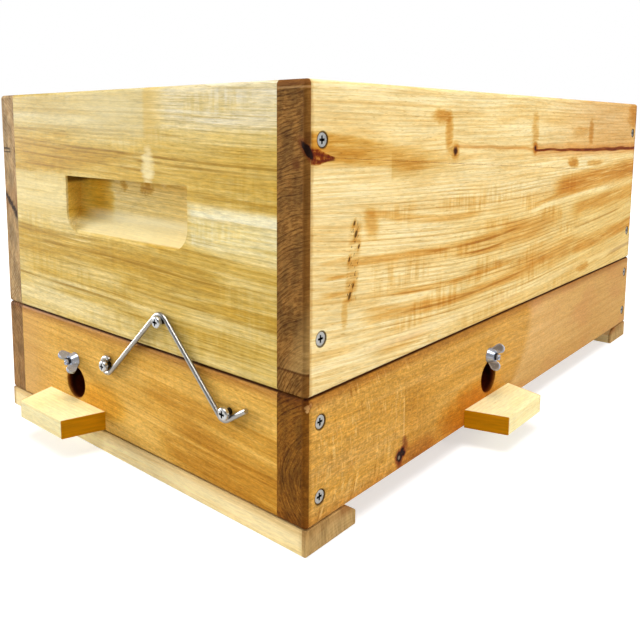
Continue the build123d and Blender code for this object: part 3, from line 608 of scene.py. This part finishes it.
# Upper box: four paler 19 mm boards joined the same way, with a scooped hand-hold in each end. The
# wood is cream with honey streaks; the right side is cut close to the pith, with knots and a resin line.
CREAM = dict(
    pale=rgb(232, 211, 150), warm=rgb(204, 166, 72), late=rgb(148, 112, 40), light=rgb(246, 230, 174),
    end=rgb(116, 74, 28), end_late=rgb(72, 40, 8), fleck=rgb(172, 124, 60))
SUNNY = dict(CREAM, pale=rgb(243, 224, 172), warm=rgb(214, 162, 80), late=rgb(168, 118, 50),
             light=rgb(252, 238, 192), stain=rgb(204, 150, 70), heart=rgb(116, 56, 22), knot=rgb(48, 22, 10))
UPPER_SCREWS = [(u, v) for u in CORNER_SCREWS for v in (109, 205)]


def pale_patches_and_scoop_shade(colour, u, v, w, spot):
    """Cream patches of sapwood that end abruptly: left and right of the hand-hold under an olive band, and
    above it up to an upright edge. In the hand-hold the left part is tinted with painted shade under a
    painted shadow line, two smudges lie beside it, and the lower slope carries painted light."""
    ground = CREAM["pale"]
    edge = (spot.speckle((12, 20, 5), 77.0, 2) - 0.5) * 5
    left = (v - edge).step(148, 153) * (v + edge).step(181.5, 179.5) * (u + edge * 3).step(88, 80)
    above = u.between(90, 140, 168, 171) * (v + edge).step(203, 208)
    beside = (u + edge * 0.2).step(168, 172) * u.step(190, 173) * (v + edge).step(198, 206)
    colour = painted(colour, (left * 0.3, 240, 220, 156), (above * 0.2, 240, 222, 166),
                     (beside * 0.4, 210, 174, 90))
    aside = (v + edge).between(142, 150, 165, 170) * (u + edge).step(206, 212) * w.step(2.0, 1.0)
    crest = (v + edge).step(206, 213) * u.step(172, 196) * (0.8 + u.step(200, 250) * 0.3)
    brow = u.step(172, 168) * (v + edge).step(204, 209)
    colour = dyed(colour, ground, (aside, 241, 230, 190), (crest, 235, 226, 204), (brow, 219, 202, 150))

    scooped = w.between(1.0, 2.0, 16.5, 17.5) * v.step(182, 180)
    upper = scooped * v.step(147, 156)
    # Painted shade: yellow-brown tints over the left part of the scoop.
    ochre_shade = upper * (u + edge * 2).step(125, 117) * (0.26 + u.step(90, 110) * 0.3)
    golden_shade = upper * u.step(124, 104)
    colour = dyed(colour, ground, (ochre_shade, 206, 150, 30), (golden_shade * 0.7, 244, 206, 112))
    # A painted shadow line under the top edge of the scoop.
    line = scooped * (v + u.step(100, 84) * 2).step(175.0, 178.6) * u.step(160, 95)
    colour = painted(colour, (line * 0.8, 70, 38, 8))
    torn = (spot.speckle((5, 20, 3), 79.0, 3, 0.65) - 0.5) * 4
    smudge = oval(u, v, 134, 175, 4, 3.5).least(oval(u, v, 157, 173.5, 6, 4)) + torn
    colour = dyed(colour, ground, (scooped * smudge.step(1.6, -0.2) * 0.55, 164, 116, 28))
    # Painted light on the lower slope of the scoop.
    return painted(colour, (scooped * v.step(160, 154) * u.step(86, 110) * 0.6, 250, 236, 184))


LARGE_PITS = ((37, 163, 0.8), (38.4, 157.2, 1.2), (41, 150.6, 0.8), (33, 145, 0.8), (36.4, 131, 0.8),
              (33.6, 126.2, 1.2))


def resin_line(colour, u, v, w, spot):
    """Red-brown wavy line along the pith from a pin knot to the far end, a fainter one before it. At the
    near corner a black knot lies across the eased edge, with a red leaf of fibres and a honey cloud behind
    it. Below them are a lane of small slanting pits and an amber blotch. The near end is darker along its
    top and carries a painted sheen above a glue line near its foot."""
    ground = SUNNY["pale"]
    wave = (spot.speckle((34, 30, 30), 71.0, 2) - 0.5) * 3
    rough = spot.speckle((26, 9, 1.2), 73.0, 3, 0.65).step(0.3, 0.62)
    edge = (spot.speckle((9, 5, 3), 74.0, 3, 0.65) - 0.5) * 2
    streak = spot.speckle((30, 9, 2.0), 75.0, 3, 0.65).step(0.3, 0.65)
    face = u.step(2.4, 3.0) * w.step(1.0, 0.4)
    line = (u * 0.00006 - 0.0605) * u + 206 + wave
    halo = abs(v - line).step(7.0, 1.0) * u.step(250, 262)
    thick = 1.1 + u.step(260, 480) * 0.9
    dark = (abs(v - line) / thick).step(1.1, 0.4) * u.step(257, 262) * (0.4 + rough * 0.5)
    faint = abs(v - line - 1).step(1.6, 0.4) * u.between(136, 142, 255, 262)
    tan = u.step(240, 420) * (v + edge).step(184, 200)
    mellow = (u.step(100, 170) * 0.5 + u.step(250, 380) * 0.5) * v.step(164, 146)
    colour = dyed(colour, ground, (halo * 0.5, 214, 152, 84), (dark, 112, 52, 16),
                  (faint * 0.4, 196, 134, 64), (tan * 0.85, 222, 184, 126), (mellow * 0.8, 230, 202, 131))

    torn = v + edge * 1.2
    haze = (torn + u * 0.09).step(194.0, 198.0) * (torn + u * 0.1).step(211.0, 207.5) * face
    fade = u.step(84, 22) * 0.6 + u.step(170, 50) * 0.4
    worn = u.between(69, 70.5, 84, 150) * (v + edge * 1.5).step(181, 185) * (v + edge).step(199, 195)
    half = (3.6 - (u - 8).most(0) * 0.27).most(0.1)
    leaf = (abs(v - 197.4 + u * 0.06 + edge * 0.3) / half).step(1.15, 0.8) * face
    bars = spot.speckle((2.0, 9, 1.6), 76.0, 3, 0.7).step(0.4, 0.62)
    colour = dyed(colour, ground, (haze * fade * (0.4 + streak * 0.7), 206, 154, 66),
                  (worn * (0.3 + streak * 0.3), 218, 180, 104),
                  (leaf * (0.3 + bars * 0.7 + streak * 0.2), 132, 62, 18))
    lower_rim = abs(v - 194.9 - (u - 10) * 0.06 + edge * 0.2).step(0.9, 0.3)
    upper_rim = abs(v - 200.0 + u * 0.2 + edge * 0.3).step(1.0, 0.3) * 0.8
    rim = lower_rim.most(upper_rim) * u.between(5, 8, 19, 21.5) * face
    ripple = (spot.speckle((2.4, 2.4, 2.4), 78.0, 3, 0.65) - 0.5) * 0.8
    swirl = (oval(w, v, 7.0, 193.6, 1.8, 2.0) + (u / 6) ** 2) ** 0.5 + ripple
    run, rise, cosine, sine = u - w - 0.4, v - 200.0, 0.686, 0.728
    lens = oval(run * cosine - rise * sine, run * sine + rise * cosine, 0, 0, 5.4, 2.1) ** 0.5 + ripple
    near = w.step(7.0, 5.0) * u.step(8.0, 6.0)
    brow = u.least(w).step(3.0, 2.0) * u.step(4.0, 2.0) * (((v - 206) / 3) ** 2).step(1.4, 0.4)
    colour = painted(colour, (rim * 0.85, 96, 34, 14), (swirl.step(2.2, 0.6) * 0.7, 92, 46, 14),
                     (lens.step(2.0, 1.0) * near * 0.6, 104, 40, 16),
                     (lens.step(1.15, 0.85) * near * 0.96, 20, 8, 8), (brow * w.step(3, 1) * 0.6, 84, 46, 10))

    end = u.step(*EASED_END)
    colour = painted(colour, (end * v.step(229.4, 230.4) * 0.7, 120, 72, 32),
                     (end * abs(v - 229.2).step(0.7, 0.3) * 0.4, 206, 160, 106))
    # Painted sheen on the near end above the glue line.
    painted_sheen = end * v.step(93.2, 94.2) * (v + w * 2.2 + edge * 2).step(136, 106)
    colour = (painted_sheen * 0.6).blend(colour, (0.62 + streak * 0.5).tint(rgb(184, 148, 88)))
    colour = painted(colour, (end * abs(v - 93.2 - edge * 0.2).step(0.9, 0.3) * 0.7, 76, 42, 14))

    blotch = (oval(u, v + (u - 52) * 0.3, 52, 161.5, 6.5, 7.5) ** 0.5 + edge * 0.5).step(1.4, 0.4)
    smear = (oval(u, v, 29.4, 117.5, 2.6, 7.5) + edge * 0.8).step(1.7, 0.0)
    lines = abs(v - 131.5 + u * 0.12).step(2.2, 0.6).most(abs(v - 138.5 + u * 0.05).step(1.4, 0.4))
    lines = lines.most(abs(v - 145.5).step(1.6, 0.4)) * u.between(6, 20, 27, 34) * (0.2 + streak * 0.4)
    amber = (blotch * 0.6).most(smear * 0.4).most(lines)
    lane = abs(u - 36.6 + (v - 144) * -0.12 + wave * 0.5).step(6.5, 3.0) * v.between(119, 127, 160, 166)
    lean, squash = 0.35, 0.6
    slit = u.at(u - v * lean, w, v * squash)
    pits = lane * slit.speckle((1.5, 3, 1.5), 83.0, 2, 0.6).step(0.6, 0.65)
    large = spots(u - v * lean, v * squash, [(mu - mv * lean, mv * squash, mr) for mu, mv, mr in LARGE_PITS])
    large = large + ripple * 0.8
    colour = dyed(colour, ground, (amber, 208, 150, 66), (lane * streak * 0.4, 196, 136, 56),
                  (large.step(2.6, 1.0) * 0.35, 190, 130, 52))
    return painted(colour, ((pits * 0.8).most(large.step(1.15, 0.75) * 0.9), 78, 46, 12))


board(
    "upper_front", ON_FRONT, CREAM, 3.0, pith=(150, -80), ring=3.2, rings=0.16,
    slope=(0.012, 0.00022, 81), broad=(14, 0.35), fine=(2.0, 0.24), figure=0.24, nap=1.0,
    seams=(JOINT_SEAM_SHADE,), extra=pale_patches_and_scoop_shade,
    warm=((18, 193, 100, 190, 180, 187, 10, 0.85), (120, 189, 200, 185, 290, 180, 6, 0.75),
          (200, 175, 240, 173, 290, 171, 3.5, 0.7), (165, 195, 220, 194, 290, 193, 8, 0.6),
          (0, 204, 40, 204, 85, 203, 5, 0.6), (0, 185, 40, 184.5, 88, 184, 4.5, 0.9),
          (0, 139, 40, 138.5, 90, 137, 6, 0.35), (0, 132, 110, 130, 230, 127, 10, 0.85),
          (120, 130, 200, 127, 290, 124, 7, 0.4), (150, 117, 220, 116, 290, 114, 5, 0.65),
          (190, 100, 240, 98, 290, 97, 7, 0.35), (0, 222, 60, 221, 115, 218, 1.5, 0.4),
          (180, 143, 230, 140, 290, 136, 5, 0.6), (80, 101, 130, 100, 170, 99, 3, 0.5),
          (40, 112, 120, 110, 200, 108, 3, 0.4)),
    dark=((0, 203.5, 90, 198.5, 290, 189.5, 0.7, 0.4), (0, 200.5, 80, 196.5, 180, 191.5, 0.6, 0.3),
          (0, 209, 60, 208, 150, 205, 0.7, 0.25), (20, 194, 90, 190, 200, 185, 0.6, 0.25),
          (0, 185.5, 60, 185, 88, 184, 0.8, 0.2), (0, 141, 60, 140, 110, 138, 2.0, 0.3),
          (60, 132, 150, 130, 290, 126, 0.8, 0.3), (0, 106.5, 80, 105, 150, 103, 0.9, 0.4),
          (160, 113, 220, 112, 290, 110, 0.8, 0.3), (130, 193, 200, 190, 290, 186, 0.8, 0.3)),
    light=((0, 167, 50, 167, 84, 166, 9.5, 0.35), (206, 167, 240, 166, 290, 164, 4, 0.6),
           (0, 93, 60, 93, 125, 92, 6, 0.4), (0, 216, 60, 215, 120, 212, 4, 0.3)),
    clouds=((173, 188, 5.5, 10, -0.85), (120, 222, 60, 12, -0.2)))
board(
    "upper_right", ON_RIGHT, SUNNY, 7.0, pith=(4, 195), ring=2.7, rings=0.16,
    bow=(235, 250, 280, 16, 192, 160), broad=(12, 0.22), fine=(2.2, 0.28), hair=0.16, figure=0.45,
    window=(60, 350, 85, 172), seams=(JOINT_SEAM_SHADE,), screws=UPPER_SCREWS, extra=resin_line, heart=(-30, 60),
    warm=((56, 167, 110, 158, 165, 155, 2.5, 0.6), (40, 143, 135, 138, 225, 140, 2.5, 0.6),
          (155, 131, 180, 130, 210, 131, 2, 0.7), (215, 137, 255, 136, 300, 138, 9, 0.7),
          (80, 119, 160, 116, 230, 117, 2, 0.7), (55, 112, 161, 104, 295, 111, 4, 0.7),
          (310, 162, 400, 167, 520, 172, 9, 1.25), (262, 153, 290, 155, 320, 158, 1.8, 0.7),
          (350, 142, 420, 146, 520, 150, 7, 0.7), (350, 109, 430, 113, 520, 119, 6, 0.9),
          (60, 91, 80, 90, 100, 90, 4, 0.6), (230, 112, 280, 110, 340, 112, 10, 0.5)),
    dark=((120, 138, 160, 137, 225, 139, 0.9, 0.5), (150, 131.5, 180, 131, 210, 132, 0.7, 0.4),
          (90, 107, 150, 104, 230, 105, 0.8, 0.4), (160, 120, 185, 119, 212, 119, 0.8, 0.5),
          (350, 127, 400, 130, 460, 134, 0.9, 0.4), (450, 94, 480, 96, 520, 98, 1.8, 0.9)),
    light=((0, 95, 250, 92, 520, 98, 3, 0.4), (262, 149, 330, 153, 420, 157, 1.8, 0.6)),
    clouds=((122, 217, 11, 4, 0.9), (131, 208, 4.5, 13, 0.8), (258, 208, 6, 15, 0.6),
            (338, 182, 12, 4.5, 1.3), (390, 180, 20, 3, 0.6), (376, 206, 6, 11, 0.7),
            (88, 190, 18, 7, 0.2), (495, 222, 18, 12, 0.7), (350, 207, 18, 5, 0.35),
            (372, 91, 14, 4, 0.7)),
    knots=((139, 196.5, 2.4, 2.6), (259, 195.5, 1.9, 2.2)))
board(
    "upper_back", ON_BACK, CREAM, 61.0, pith=(90, 20), ring=3.0, rings=0.18,
    slope=(-0.02, 0, 0), broad=(12, 0.4), fine=(2.6, 0.35), hair=0.25, seams=(JOINT_SEAM_SHADE,),
    warm=((0, 206, 120, 202, 290, 207, 8, 0.7), (40, 104, 160, 100, 290, 106, 7, 0.7),
          (0, 140, 80, 138, 200, 142, 6, 0.6)),
    dark=((0, 190, 120, 186, 290, 189, 1.2, 0.5), (0, 118, 120, 120, 290, 126, 1.0, 0.4)))


def split_end(colour, u, v, w, spot):
    """A drying crack that slants across the near end, with two fine checks above it."""
    ragged = (spot.speckle((4, 4, 4), 79.0, 2) - 0.5) * 3
    torn = (spot.speckle((5, 2.6, 4.0), 80.0, 3, 0.75) - 0.5) * 12
    crack = abs(v - 163 + (w - 2) + torn).step(2.6 + w * 0.2, 1.0) * w.between(1.0, 2.4, 17.4, 18.4)
    check = abs(v - 195 + ragged * 0.6).step(1.2, 0.3).most(abs(v - 192.5 - ragged * 0.6).step(0.9, 0.2))
    opened = (crack * 0.95 + check * w.step(14, 10) * 0.8).least(0.95)
    near_end = u.step(BOX_LENGTH - 14, BOX_LENGTH - 2)
    shade = abs(v - 158 + ragged).step(14, 3) * near_end
    return painted(colour, (shade * 0.4, 150, 100, 56), (opened * near_end, 36, 18, 10))


STRAW = dict(SUNNY, pale=rgb(224, 196, 136), warm=rgb(190, 142, 66), late=rgb(148, 102, 42),
             light=rgb(232, 210, 158), end=rgb(172, 134, 84), end_late=rgb(128, 92, 50),
             fleck=rgb(210, 180, 132))
board(
    "upper_left", ON_LEFT, STRAW, 67.0, pith=(-45, 150), ring=2.8, rings=0.18,
    broad=(12, 0.4), fine=(2.6, 0.35), hair=0.22, figure=0.3, knots=((300, 120, 5, 6),),
    seams=(JOINT_SEAM_SHADE,), screws=UPPER_SCREWS, extra=split_end,
    warm=((30, 206, 200, 210, 420, 202, 9, 0.7), (100, 150, 260, 144, 480, 152, 7, 0.6),
          (0, 98, 160, 94, 330, 100, 6, 0.6)),
    dark=((60, 170, 200, 176, 360, 168, 1.4, 0.5), (200, 108, 330, 104, 505, 110, 1.2, 0.4)))


# Fasteners: bright zinc-plated steel. Countersunk cross-recess screws hold the boxes, runners and landing
# boards; pan-head screws carry the clips; a bolt with a pressed wing nut holds each gate.
def zinc(name, tone, dull, seed, shade_and_reflection=None, rounding=None, metal=1.0):
    """Plated steel: bright metal with faint clouds, fine scratches and a little white bloom. A mask made from
    the place in millimetres lays on painted shade and painted dark reflections; rims may be rounded to a
    radius in metres."""
    material, shader, spot = finish(name)
    cloud = spot.speckle((2.5, 2.5, 2.5), seed, 2)
    scratch = spot.speckle((3.5, 0.25, 0.25), seed + 3, 2, 0.7)
    bloom = spot.speckle((0.9, 0.9, 0.9), seed + 5, 3, 0.7).step(0.6, 0.75)
    colour = (0.78 + cloud * 0.34 + (scratch - 0.5) * 0.16).tint(tone)
    colour = (bloom * 0.3).blend(colour, rgb(214, 214, 210))
    if shade_and_reflection:
        # Painted shade in hollows and painted dark reflections.
        colour = (shade_and_reflection(*spot.parts()) * 0.95).blend(colour, rgb(24, 20, 18))
    roughness, relief = dull + cloud * 0.16 + bloom * 0.2, scratch * 0.5 + cloud
    feed(shader, colour, roughness, relief, depth=0.00006, strength=0.35, rounding=rounding)
    shader.inputs["Metallic"].default_value = metal
    return material


MIDDLE_Y, HEAD_LEVEL, PAN_LEVEL = (FRONT_FACE + BACK_FACE) / 2, 145.6, 258.5
PAN_SCREWS = ((-30.5, 61), (79.5, 61), (24.5, 100), (3.5, 61), (-106.5, 61), (-51.5, 100))


def flat_head_shade(x, y, z):
    """Painted shade below the top of a countersunk head in either side."""
    return abs(x - MIDDLE_X).step(HEAD_LEVEL - 0.1, HEAD_LEVEL - 0.6)


def pan_head_shade(x, y, z):
    """Painted shade within 2.5 mm of a pan-head screw's axis and below the top of its head."""
    reach = x * 0 + 9
    for px, pz in PAN_SCREWS:
        reach = reach.least(((x - px) ** 2 + (z - pz) ** 2) ** 0.5)
    return reach.step(2.5, 2.1) * abs(y - MIDDLE_Y).step(PAN_LEVEL - 0.2, PAN_LEVEL - 0.7)


NUT_LEVEL, FRONT_NUT_X, SIDE_NUT_Y = 55.0, -70.5, -46.5


def nut_shade_and_reflection(x, y, z):
    """Painted shade within 2.9 mm of a bolt's axis, from the nose of its nut to 1 mm short of the bolt's
    end, and a less deep painted dark reflection on the wings, whose outline is the hull of two circles,
    wherever they lie 1 mm or more inside it."""
    root_reach, root_out, run, climb = 3.6, 2.5, 2.6, 3.7
    rise, mask = z - NUT_LEVEL, x * 0
    for along, out, angle, dull in ((x - FRONT_NUT_X, FRONT_FACE - y, math.radians(-37), 0.12),
                                    (y - SIDE_NUT_Y, x - RIGHT_FACE, math.radians(62), 0.5)):
        mask = mask.most((along ** 2 + rise ** 2).step(2.9 ** 2, 2.4 ** 2) * out.between(4.4, 4.7, 6.0, 6.6))
        reach = abs(along * math.cos(angle) + rise * math.sin(angle))
        share = ((reach - root_reach) * run + (out - root_out) * climb) / (run ** 2 + climb ** 2)
        share = share.most(0).least(1)
        apart = oval(reach - share * run, out - share * climb, root_reach, root_out, 1, 1) ** 0.5
        inset = (2.3 + share * 0.9 - apart).step(0.5, 1.1)
        # On the wing faces the mask lays a painted dark reflection, as deep as dull.
        mask = mask.most(inset * reach.between(4.2, 4.8, 9.6, 10) * out.step(-0.5, 0.5) * dull)
    return mask


screw_zinc = zinc("screw_zinc", rgb(196, 196, 192), 0.3, 3.0, flat_head_shade)
pan_zinc = zinc("pan_zinc", rgb(214, 216, 216), 0.24, 4.0, pan_head_shade)
plain_zinc = zinc("plain_zinc", rgb(196, 198, 198), 0.28, 6.0)
nut_zinc = zinc("nut_zinc", rgb(180, 189, 206), 0.14, 5.0, nut_shade_and_reflection, rounding=0.0006, metal=0.5)
dress(screw_zinc, "base_corner_screws", "upper_corner_screws")
dress(pan_zinc, "lower_clip_screws", "upper_clip_screws")
dress(plain_zinc, "runner_screws", "landing_screws")
dress(nut_zinc, "front_wing_nut", "side_wing_nut", "front_gate_bolt", "side_gate_bolt")


# Gates: tear-drop plates of galvanised sheet on the bolts inside the walls, swung aside from the
# entrances. The zinc shows its crystals.
def galvanised(name, seed):
    """Hot-dipped sheet: flat crystals of differing grey, a few millimetres across, with soft edges."""
    material, shader, spot = finish(name)
    bent = spot.vector("ADD", spot, spot.speckle((4, 4, 4), seed, 2))
    crystal = bent.node("ShaderNodeTexVoronoi", {}, {"Vector": bent, "Scale": 0.28}, 1)
    shade = crystal.parts()[0]
    colour = (0.72 + shade * 0.36).tint(rgb(176, 182, 186))
    feed(shader, colour, 0.34 + shade * 0.2, shade, depth=0.00004, strength=0.3)
    shader.inputs["Metallic"].default_value = 0.9
    return material


dress(galvanised("gate_zinc", 8.0), "front_gate", "side_gate")


# Clips: spring wire with a bright drawn finish, bent to an eye at one end, over the apex screw and
# under the catch screw.
dress(zinc("wire_zinc", rgb(178, 176, 172), 0.28, 9.0), "front_clip_wire", "rear_clip_wire")


# Frames: six on the rests of the upper box, each of planed pine bars nailed together. Top and bottom
# bars run with the box, end bars stand upright between them.
PINE = dict(
    pale=rgb(240, 216, 166), warm=rgb(226, 186, 122), late=rgb(196, 144, 82), light=rgb(248, 232, 194),
    end=rgb(208, 166, 108), end_late=rgb(162, 112, 62), fleck=rgb(232, 200, 146))
PLANED = dict(rings=0.25, broad=(14, 0.4), figure=0.1)
FRAMES = [f"{side}_frame_{index}" for side in ("left", "right") for index in (1, 2, 3)]
dress(timber("top_bar_pine", (231.0, RIGHT_FACE, 0), (0, 0, -90), 483.0, PINE, 81.0, pith=(120, 90),
             ring=3.1, **PLANED), *(f"{name}_top_bar" for name in FRAMES))
dress(timber("bottom_bar_pine", (213.5, RIGHT_FACE, 0), (0, 0, -90), 448.0, PINE, 87.0, pith=(90, 150),
             ring=2.7, **PLANED), *(f"{name}_bottom_bar" for name in FRAMES))
dress(timber("end_bar_pine", (-89.5, 0, 0), (0, 90, 0), 134.0, PINE, 91.0, pith=(-320, 30), ring=2.5,
             fine=(2.2, 0.3), **PLANED),
      *(f"{name}_{end}_end_bar" for name in FRAMES for end in ("front", "rear")))


# Foundation: a sheet of beeswax in each frame, pressed between rollers so that both faces carry the
# bottoms of worker cells, 5.4 mm across, as three-sided hollows.
CELL_WIDTH, CELL_DEPTH = 5.4, 0.7


def foundation_sheet(name, low, high):
    """Both faces are a triangular lattice of points, in rows along y. Every third point, where column less
    row divides by three, is the middle of a cell and lies deeper; the far face's cells are offset by one."""
    pitch = CELL_WIDTH / 3 ** 0.5 / 1000
    (x0, y0, z0), (x1, y1, z1) = low, high
    rows = round((z1 - z0) / (pitch * 3 ** 0.5 / 2))
    columns = math.ceil((y1 - y0) / pitch + 0.5)
    j, i = np.mgrid[0:rows + 1, 0:columns + 1]
    y = np.clip(y0 + (i - 0.5 * (j % 2)) * pitch, y0, y1)
    z = z0 + j * (z1 - z0) / rows
    kind = i - (j + j % 2) // 2 - j
    inner = (y > y0 + pitch) & (y < y1 - pitch) & (j > 0) & (j < rows)
    near = x0 + CELL_DEPTH / 1000 * ((kind % 3 == 0) & inner)
    far = x1 - CELL_DEPTH / 1000 * ((kind % 3 == 1) & inner)
    points = np.concatenate([np.stack([x, y, z], -1).reshape(-1, 3) for x in (near, far)])

    index = j * (columns + 1) + i
    a, b = index[:-1, :-1].ravel(), index[:-1, 1:].ravel()
    c, d = index[1:, :-1].ravel(), index[1:, 1:].ravel()
    even = (j[:-1, :-1].ravel() % 2 == 0)[:, None]
    first = np.where(even, np.stack([a, b, d], -1), np.stack([a, b, c], -1))
    second = np.where(even, np.stack([a, d, c], -1), np.stack([b, d, c], -1))
    faces = np.concatenate([first, second])
    border = np.concatenate([index[0, :-1], index[:-1, -1], index[-1, :0:-1], index[:0:-1, 0]])
    following = np.roll(border, -1)
    half = index.size
    rim = np.concatenate([np.stack([border, border + half, following], -1),
                          np.stack([following, border + half, following + half], -1)])
    faces = np.concatenate([faces[:, ::-1], faces + half, rim])

    mesh = bpy.data.meshes.new(name)
    mesh.from_pydata(points.tolist(), [], faces.tolist())
    sheet = bpy.data.objects.new(name, mesh)
    scene.collection.objects.link(sheet)
    return sheet


wax, wax_shader, wax_spot = finish("pressed_wax")
wax_cloud = wax_spot.speckle((18, 18, 18), 12.0, 3)
wax_bloom = wax_spot.speckle((5, 5, 5), 14.0, 3, 0.7).step(0.52, 0.72)
wax_tone = wax_cloud.step(0.3, 0.7).blend(rgb(236, 184, 72), rgb(244, 204, 110))
wax_colour = (wax_bloom * 0.3).blend((0.84 + wax_cloud * 0.32).tint(wax_tone), rgb(248, 226, 168))
wax_relief = wax_spot.speckle((0.6, 0.6, 0.6), 16.0, 2)
feed(wax_shader, wax_colour, 0.4 + wax_bloom * 0.25, wax_relief, depth=0.0001, strength=0.3)
for name in FRAMES:
    sheet = foundation_sheet(f"{name}_wax_sheet", *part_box(f"{name}_foundation"))
    sheet.data.materials.append(wax)
    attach(sheet, name)
    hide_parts(f"{name}_foundation")
